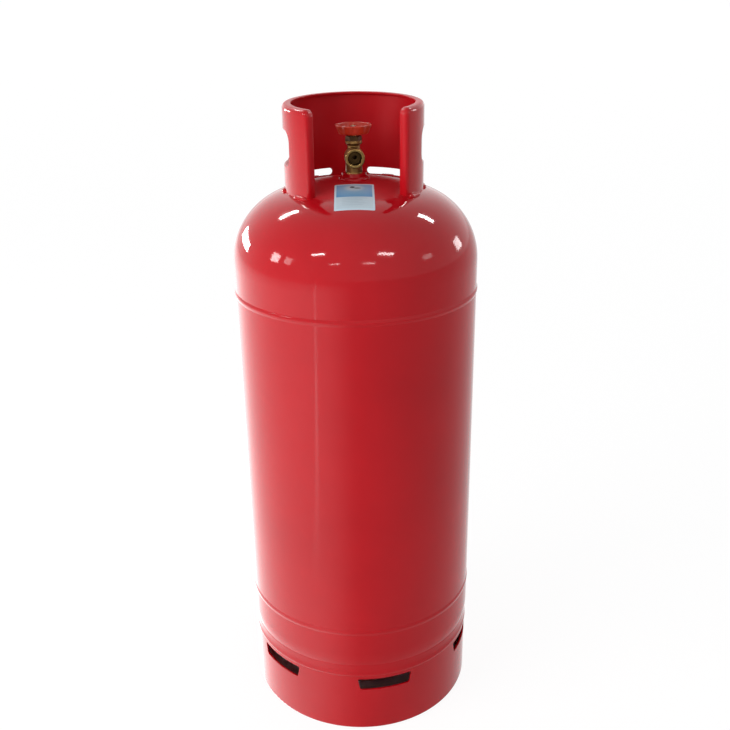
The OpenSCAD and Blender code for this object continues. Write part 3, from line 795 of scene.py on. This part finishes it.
def guard_collar():
    """Rolled sheet around the valve, open at the front, with hand holes and drain slots."""
    sheet = Sheet(GUARD_R, math.pi, PLATE)
    half = (math.pi - OPEN) * GUARD_R
    top = GUARD_TOP - ROLL_R
    foot = crown_at(GUARD_R - ROLL_R) - 2 * MM
    c = CORNER_R
    turns = 8
    points = [(-half, foot), (half, foot)]
    for k in range(turns + 1):
        a = math.pi / 2 * k / turns
        points.append((half - c + c * math.cos(a), top - c + c * math.sin(a)))
    for k in range(turns + 1):
        a = math.pi / 2 * (1 + k / turns)
        points.append((-half + c + c * math.cos(a), top - c + c * math.sin(a)))
    sheet.outline(points)
    drain_z = crown_at(GUARD_R - PLATE) + 3 * MM + DRAIN_H / 2
    hands = []
    for side in (-1, 1):
        angle = math.pi + side * (math.pi - HAND_ANGLE)
        sheet.hole(angle, HAND_Z, HAND_W, HAND_H, HAND_CORNER, margin=LIP_R, segments=64)
        hands.append((angle - math.pi) * GUARD_R)
        sheet.hole(math.pi + side * DRAIN_ANGLE, drain_z, DRAIN_W, DRAIN_H, segments=32)
    sheet.fill(math.radians(2.5))

    # Turned-in lips of the hand holes
    for centre in hands:
        near = sheet.rim(
            lambda p: abs(p.x - centre) < HAND_W / 2 + 3 * LIP_R
            and abs(p.z - HAND_Z) < HAND_H / 2 + 1.5 * LIP_R
        )
        path = [
            (LIP_R * math.sin(a), LIP_R * (1 - math.cos(a)))
            for a in (math.pi / 2 * k / 5 for k in range(1, 6))
        ]
        path.append((LIP_R, LIP_DEPTH))
        sheet.sweep(near, path, hole_way(HAND_W, HAND_H, HAND_CORNER, centre, HAND_Z, GUARD_R))

    # Rolled edge up one end, over the top and down the other end
    def away(p):
        x = max(abs(p.x) - (half - c), 0.0)
        z = max(p.z - (top - c), 0.0)
        if x == 0 and z == 0:
            return Vector((0, 0, 1))
        if p.z < top - c + 1e-6:
            return Vector((math.copysign(1, p.x), 0, 0))
        return Vector((math.copysign(x, p.x), 0, z)).normalized()

    def rolled(p):
        at_corner = abs(p.x) > half - c and p.z > top - c
        at_edge = abs(p.x) > half - 1 * MM or p.z > top - 1 * MM
        return p.z > foot + 0.1 * MM and (at_edge or at_corner)

    curl = [
        (ROLL_R * math.sin(a), ROLL_R * (1 - math.cos(a)))
        for a in (math.radians(11.25 * k) for k in range(1, 9))
    ]
    curl += [(ROLL_R, ROLL_R + 3.5 * MM), (ROLL_R - 0.4 * MM, 2 * ROLL_R)]
    sheet.sweep(sheet.rim(rolled), curl, away)
    # The top dips a little towards the opening
    for v in sheet.bm.verts:
        high = max(0.0, min(1.0, (v.co.z - DIP_Z) / DIP_H))
        forward = (1 + math.cos(math.pi + v.co.x / GUARD_R)) / 2
        v.co.z -= DIP * high * high * (3 - 2 * high) * forward
    sheet.bend()
    sheet.piece("guard_sheet", PAINT["guard"], "painted_guard", ("guard_collar",))


guard_collar()


# ---------------------------------------------------------------- finish of the CAD nodes

NODE_FINISH = {
    "shell": PAINT["vessel"],
    "top_head": PAINT["crown"],
    "bottom_head": PAINT["vessel"],
    "seam_weld": PAINT["weld"],
    "foot_ring_weld": PAINT["weld"],
    "guard_welds": PAINT["weld"],
    "socket_weld": PAINT["weld"],
    "valve_socket": PAINT["vessel"],
    "upper_backing_ring": STEEL,
    "lower_backing_ring": STEEL,
    "label": LABEL,
    "valve_body": BRASS,
    # Painted shade: the gland nut and the valve plug take the darkened brass
    "gland_nut": BRASS_IN_PAINTED_SHADE,
    "spindle": TURNED,
    "valve_plug": BRASS_IN_PAINTED_SHADE,
    "spindle_seal": RUBBER,
    "thrust_washer": SLIP,
    "seat_disc": SLIP,
    "handwheel": WHEEL,
    "handwheel_washer": ZINC,
    "handwheel_nut": ZINC,
    "guard_collar": PAINT["guard"],
    "foot_ring": PAINT["foot"],
    "upper_girth_weld": PAINT["weld"],
    "lower_girth_weld": PAINT["weld"],
}
for name, finish in NODE_FINISH.items():
    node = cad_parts[name]
    if not node.material_slots:
        node.data.materials.append(finish)
    for place in node.material_slots:
        place.material = finish


# ---------------------------------------------------------------- stage, light and camera

FLOOR_REACH = 600
FLOOR_GLOW = 1.085
# Share of its own light in a floor that is seen straight or mirrored
FLOOR_SHARE = 0.84
# Strengths of the painted pool and strip of light on the floor, seen only in gloss
PAINTED_POOL = 2.6
PAINTED_STRIP = 3.5
# Light of the world on the pieces, and what gloss mirrors above its plain white
AMBIENT = 0.5
WALLS = 0.55


def stage_floor():
    """White floor, brighter on the window's side with a painted pool of light that only gloss paint
    mirrors.
    """
    bm = bmesh.new()
    bmesh.ops.create_grid(bm, x_segments=8, y_segments=8, size=FLOOR_REACH)
    mesh = bpy.data.meshes.new("Floor")
    bm.to_mesh(mesh)
    bm.free()
    floor = bpy.data.objects.new("Floor", mesh)
    bpy.context.scene.collection.objects.link(floor)
    material = bpy.data.materials.new("Pale floor")
    material.use_nodes = True
    t = Tree(material.node_tree)
    shader = material.node_tree.nodes["Principled BSDF"]
    shader.inputs["Base Color"].default_value = (0.86, 0.86, 0.865, 1)
    shader.inputs["Roughness"].default_value = 0.6
    shader.inputs["Specular IOR Level"].default_value = 0.2
    rays = t.add("ShaderNodeLightPath")
    glossy, clear = rays.outputs["Is Glossy Ray"], rays.outputs["Is Transmission Ray"]
    mirrored = t.math("ADD", glossy, clear, clamp=True)
    seen = t.math("ADD", rays.outputs["Is Camera Ray"], mirrored, clamp=True)
    place = t.add("ShaderNodeTexCoord").outputs["Object"]
    away = t.add("ShaderNodeVectorMath", {0: place}, operation="LENGTH").outputs["Value"]
    # The floor inside the foot ring stays as dark as the real one
    outside = t.math("GREATER_THAN", away, FOOT_R - 6 * MM)
    way = t.add("ShaderNodeVectorMath", {0: place}, operation="NORMALIZE").outputs["Vector"]
    leftward = t.add("ShaderNodeVectorMath", {0: way, 1: (-1, 0, 0)}, operation="DOT_PRODUCT")
    # Painted pool of light, brighter towards the window's side, seen only in gloss
    painted_pool = t.add(
        "ShaderNodeMapRange",
        {"Value": leftward.outputs["Value"], "From Min": 0.02, "From Max": 0.7, "To Max": PAINTED_POOL},
        interpolation_type="SMOOTHSTEP",
    ).outputs["Result"]
    painted_pool = t.math("MULTIPLY", painted_pool, t.span(away, 2.6, 9.0, 1.0, 0.25))
    # Painted strip of light, as if falling between two window boards, seen only in gloss
    square_on = {0: place, 1: (0.773, -0.634, 0)}
    beside = t.add("ShaderNodeVectorMath", square_on, operation="DOT_PRODUCT")
    aside = t.math("ABSOLUTE", t.math("ADD", beside.outputs["Value"], 0.0465))
    painted_strip = t.span(aside, 0.02, 0.05, PAINTED_STRIP, 0.0)
    painted_strip = t.math("MULTIPLY", painted_strip, t.math("GREATER_THAN", leftward.outputs["Value"], 0.0))
    painted_strip = t.math("MULTIPLY", painted_strip, t.span(away, 0.6, 1.6, 0.0, 1.0))
    # The painted pool and strip show only in mirrored rays
    extra = t.math("MULTIPLY", t.math("ADD", painted_pool, painted_strip), mirrored)
    strength = t.math("ADD", extra, FLOOR_GLOW)
    glow = t.add("ShaderNodeEmission", {"Color": (1, 1, 1, 1), "Strength": strength})
    share = t.math("MULTIPLY", t.math("MULTIPLY", seen, outside), FLOOR_SHARE)
    both = t.add("ShaderNodeMixShader", {0: share, 1: shader.outputs[0], 2: glow.outputs[0]})
    t.put(both, material.node_tree.nodes["Material Output"].inputs["Surface"])
    mesh.materials.append(material)


def studio_world():
    """White world: dim on the pieces, bright behind them and in what gloss mirrors."""
    world = bpy.data.worlds.new("Studio")
    bpy.context.scene.world = world
    world.use_nodes = True
    t = Tree(world.node_tree)
    rays = t.add("ShaderNodeLightPath")
    shown = t.math("ADD", rays.outputs["Is Camera Ray"], rays.outputs["Is Glossy Ray"])
    shown = t.math("ADD", shown, rays.outputs["Is Transmission Ray"], clamp=True)
    strength = t.span(shown, 0.0, 1.0, AMBIENT, 1.0)
    # The gloss also mirrors the lit upper walls of the room
    walls = t.math("MULTIPLY", rays.outputs["Is Glossy Ray"], WALLS)
    strength = t.math("ADD", strength, walls)
    background = world.node_tree.nodes["Background"]
    background.inputs["Color"].default_value = (1, 1, 1, 1)
    t.put(strength, background.inputs["Strength"])


def lamp(name, place, target, width, height, radiance):
    """White rectangular area lamp at a place, facing a target, of an even radiance."""
    data = bpy.data.lights.new(name, "AREA")
    data.shape = "RECTANGLE"
    data.size = width
    data.size_y = height
    data.energy = radiance * math.pi * width * height
    light = bpy.data.objects.new(name, data)
    light.location = place
    light.rotation_mode = "QUATERNION"
    light.rotation_quaternion = (Vector(target) - Vector(place)).to_track_quat("-Z", "Y")
    light.visible_camera = False
    bpy.context.scene.collection.objects.link(light)
    return light


def round_the_cylinder(azimuth, elevation, distance, base=0.8):
    """Place at an azimuth from the front towards +X and an elevation, from a point up the axis."""
    a, e = math.radians(azimuth), math.radians(elevation)
    return Vector((
        distance * math.sin(a) * math.cos(e),
        -distance * math.cos(a) * math.cos(e),
        base + distance * math.sin(e),
    ))


CEILING = 2.6
MIDDLE = (0, 0, 0.8)


def studio_lamps():
    """A soft key for the light, and battens and windows that only gloss shows."""
    for i, (x, y, radiance) in enumerate((
        (-1.2, 1.25, 70), (1.65, 0.8, 70), (-1.7, -1.85, 70), (1.15, -2.15, 70),
        (-1.5, -3.5, 26), (0.5, -3.6, 26),
    )):
        batten = lamp(f"Batten {i}", (x, y, CEILING), (x, y, 0), 0.72, 0.22, radiance)
        batten.visible_diffuse = False
    for name, azimuth, elevation, width, height, radiance in (
        ("Left rear window", -133, 6.5, 1.4, 0.42, 40),
        ("Left window", -83, 17, 0.55, 0.6, 36),
        ("Left front window", -69, 18.5, 0.4, 0.5, 12),
        ("Right rear window", 109, 11, 0.6, 0.6, 16),
        ("Right window", 67, 19, 0.6, 0.35, 7),
    ):
        place = round_the_cylinder(azimuth, elevation, 3.5)
        window = lamp(name, place, MIDDLE, width, height, radiance)
        window.visible_diffuse = False
    key = lamp("Key", round_the_cylinder(-62, 14, 3.2, 0.6), (0, 0, 0.5), 2.2, 2.2, 4.0)
    key.visible_glossy = False


CAMERA_AZIMUTH = -4.0
CAMERA_DISTANCE = 1.5064
CAMERA_HEIGHT = 1.2401
CAMERA_PITCH = 22.07
CAMERA_YAW = -0.5386
CAMERA_ROLL = -1.0943
FOCAL_LENGTH = 45.66
SHIFT = (0.022, -0.0006)


def studio_camera():
    """Camera a little left of the front, looking down; angles in degrees, focal length in mm."""
    data = bpy.data.cameras.new("Camera")
    data.sensor_width = 36
    data.lens = FOCAL_LENGTH
    data.shift_x, data.shift_y = SHIFT
    data.clip_start, data.clip_end = 0.05, 3000
    camera = bpy.data.objects.new("Camera", data)
    turn = math.radians(CAMERA_AZIMUTH)
    camera.location = (
        CAMERA_DISTANCE * math.sin(turn), -CAMERA_DISTANCE * math.cos(turn), CAMERA_HEIGHT
    )
    look = Matrix.Rotation(turn - math.radians(CAMERA_YAW), 4, "Z")
    look = look @ Matrix.Rotation(math.radians(90 - CAMERA_PITCH), 4, "X")
    look = look @ Matrix.Rotation(math.radians(CAMERA_ROLL), 4, "Z")
    camera.rotation_mode = "QUATERNION"
    camera.rotation_quaternion = look.to_quaternion()
    bpy.context.scene.collection.objects.link(camera)
    bpy.context.scene.camera = camera


stage_floor()
studio_world()
studio_lamps()
studio_camera()
bpy.context.scene.view_settings.view_transform = "Standard"
